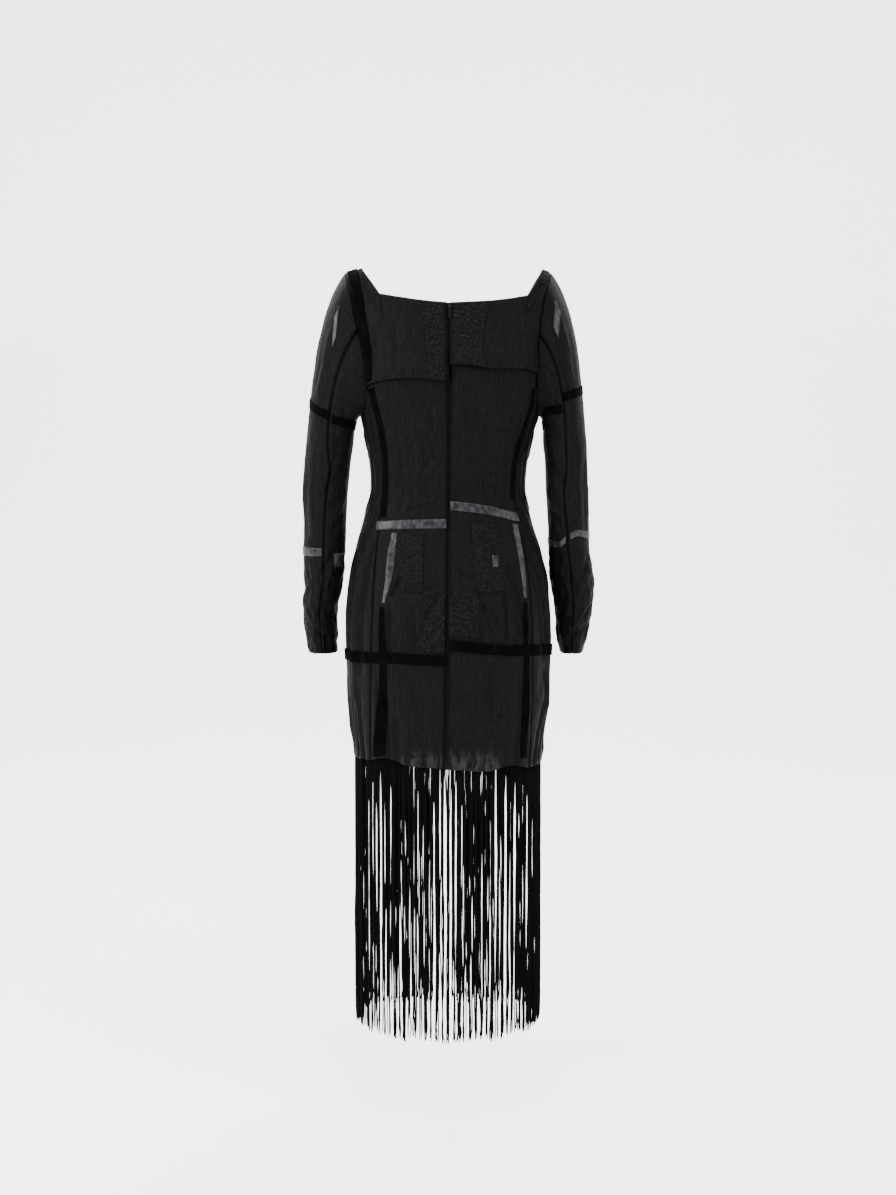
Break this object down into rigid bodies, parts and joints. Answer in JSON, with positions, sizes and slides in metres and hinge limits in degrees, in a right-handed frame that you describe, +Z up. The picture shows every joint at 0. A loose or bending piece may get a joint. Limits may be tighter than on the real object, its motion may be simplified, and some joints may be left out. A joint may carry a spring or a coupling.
{
  "type": "fringe dress",
  "caption": "Fitted long-sleeved dress pieced from crepe, velvet, satin and lace, with an open neck, a zip at the back and a long yarn fringe at the hem.",
  "frame": {"origin": "midway between the shoulders, level with their tops, where the wearer's shoulders hold the dress up", "axes": "+Z up, the back of the dress faces -Y, +X is the wearer's right"},
  "size_m": [0.4701, 0.238, 1.226],
  "materials": {
    "crepe": "matt black crinkled crepe",
    "velvet": "deep black velvet pile",
    "satin": "charcoal satin ribbon with a soft sheen",
    "lace": "black lace backed by cloth",
    "yarn": "soft black yarn",
    "metal": "small plain zip parts"
  },
  "bodies": {
    "dress": {"back_yoke_left": "crepe", "back_yoke_right": "crepe", "back_bodice_left": "crepe", "back_bodice_right": "crepe", "back_skirt_left": "crepe", "back_skirt_right": "crepe", "side_panel_left": "crepe", "side_panel_right": "crepe", "front_bodice": "crepe", "front_skirt": "crepe", "sleeve_top_left": "crepe", "sleeve_top_right": "crepe", "sleeve_under_left": "crepe", "sleeve_under_right": "crepe", "bodice_velvet_left": "velvet", "bodice_velvet_right": "velvet", "skirt_velvet_left": "velvet", "skirt_velvet_right": "velvet", "hip_velvet_left": "velvet", "hip_velvet_right": "velvet", "armhole_velvet_left": "velvet", "sleeve_velvet_top_left": "velvet", "sleeve_velvet_top_right": "velvet", "sleeve_velvet_under_left": "velvet", "sleeve_velvet_under_right": "velvet", "waist_satin_left": "satin", "waist_satin_right": "satin", "hip_satin_left": "satin", "hip_satin_right": "satin", "hip_satin_tab_right": "satin", "sleeve_satin_left": "satin", "sleeve_satin_patch_left": "satin", "sleeve_satin_top_right": "satin", "sleeve_satin_under_right": "satin", "sleeve_head_satin_left": "satin", "sleeve_head_satin_right": "satin", "hip_lace_left_upper": "lace", "hip_lace_left_lower": "lace", "hip_lace_right_upper": "lace", "hip_lace_right_lower": "lace", "yoke_lace_left": "lace", "yoke_lace_right": "lace", "fringe_left": "yarn", "fringe_right": "yarn", "zip_slider": "metal"},
    "zip_pull": {"zip_pull_tab": "metal"}
  },
  "joints": [
    {"name": "zip_pull_swing", "type": "hinge", "parent": "dress", "child": "zip_pull", "pos_m": [0.00236, -0.09134, -0.06258], "axis": [-1, 0, 0], "range_deg": [0, 150]}
  ]
}
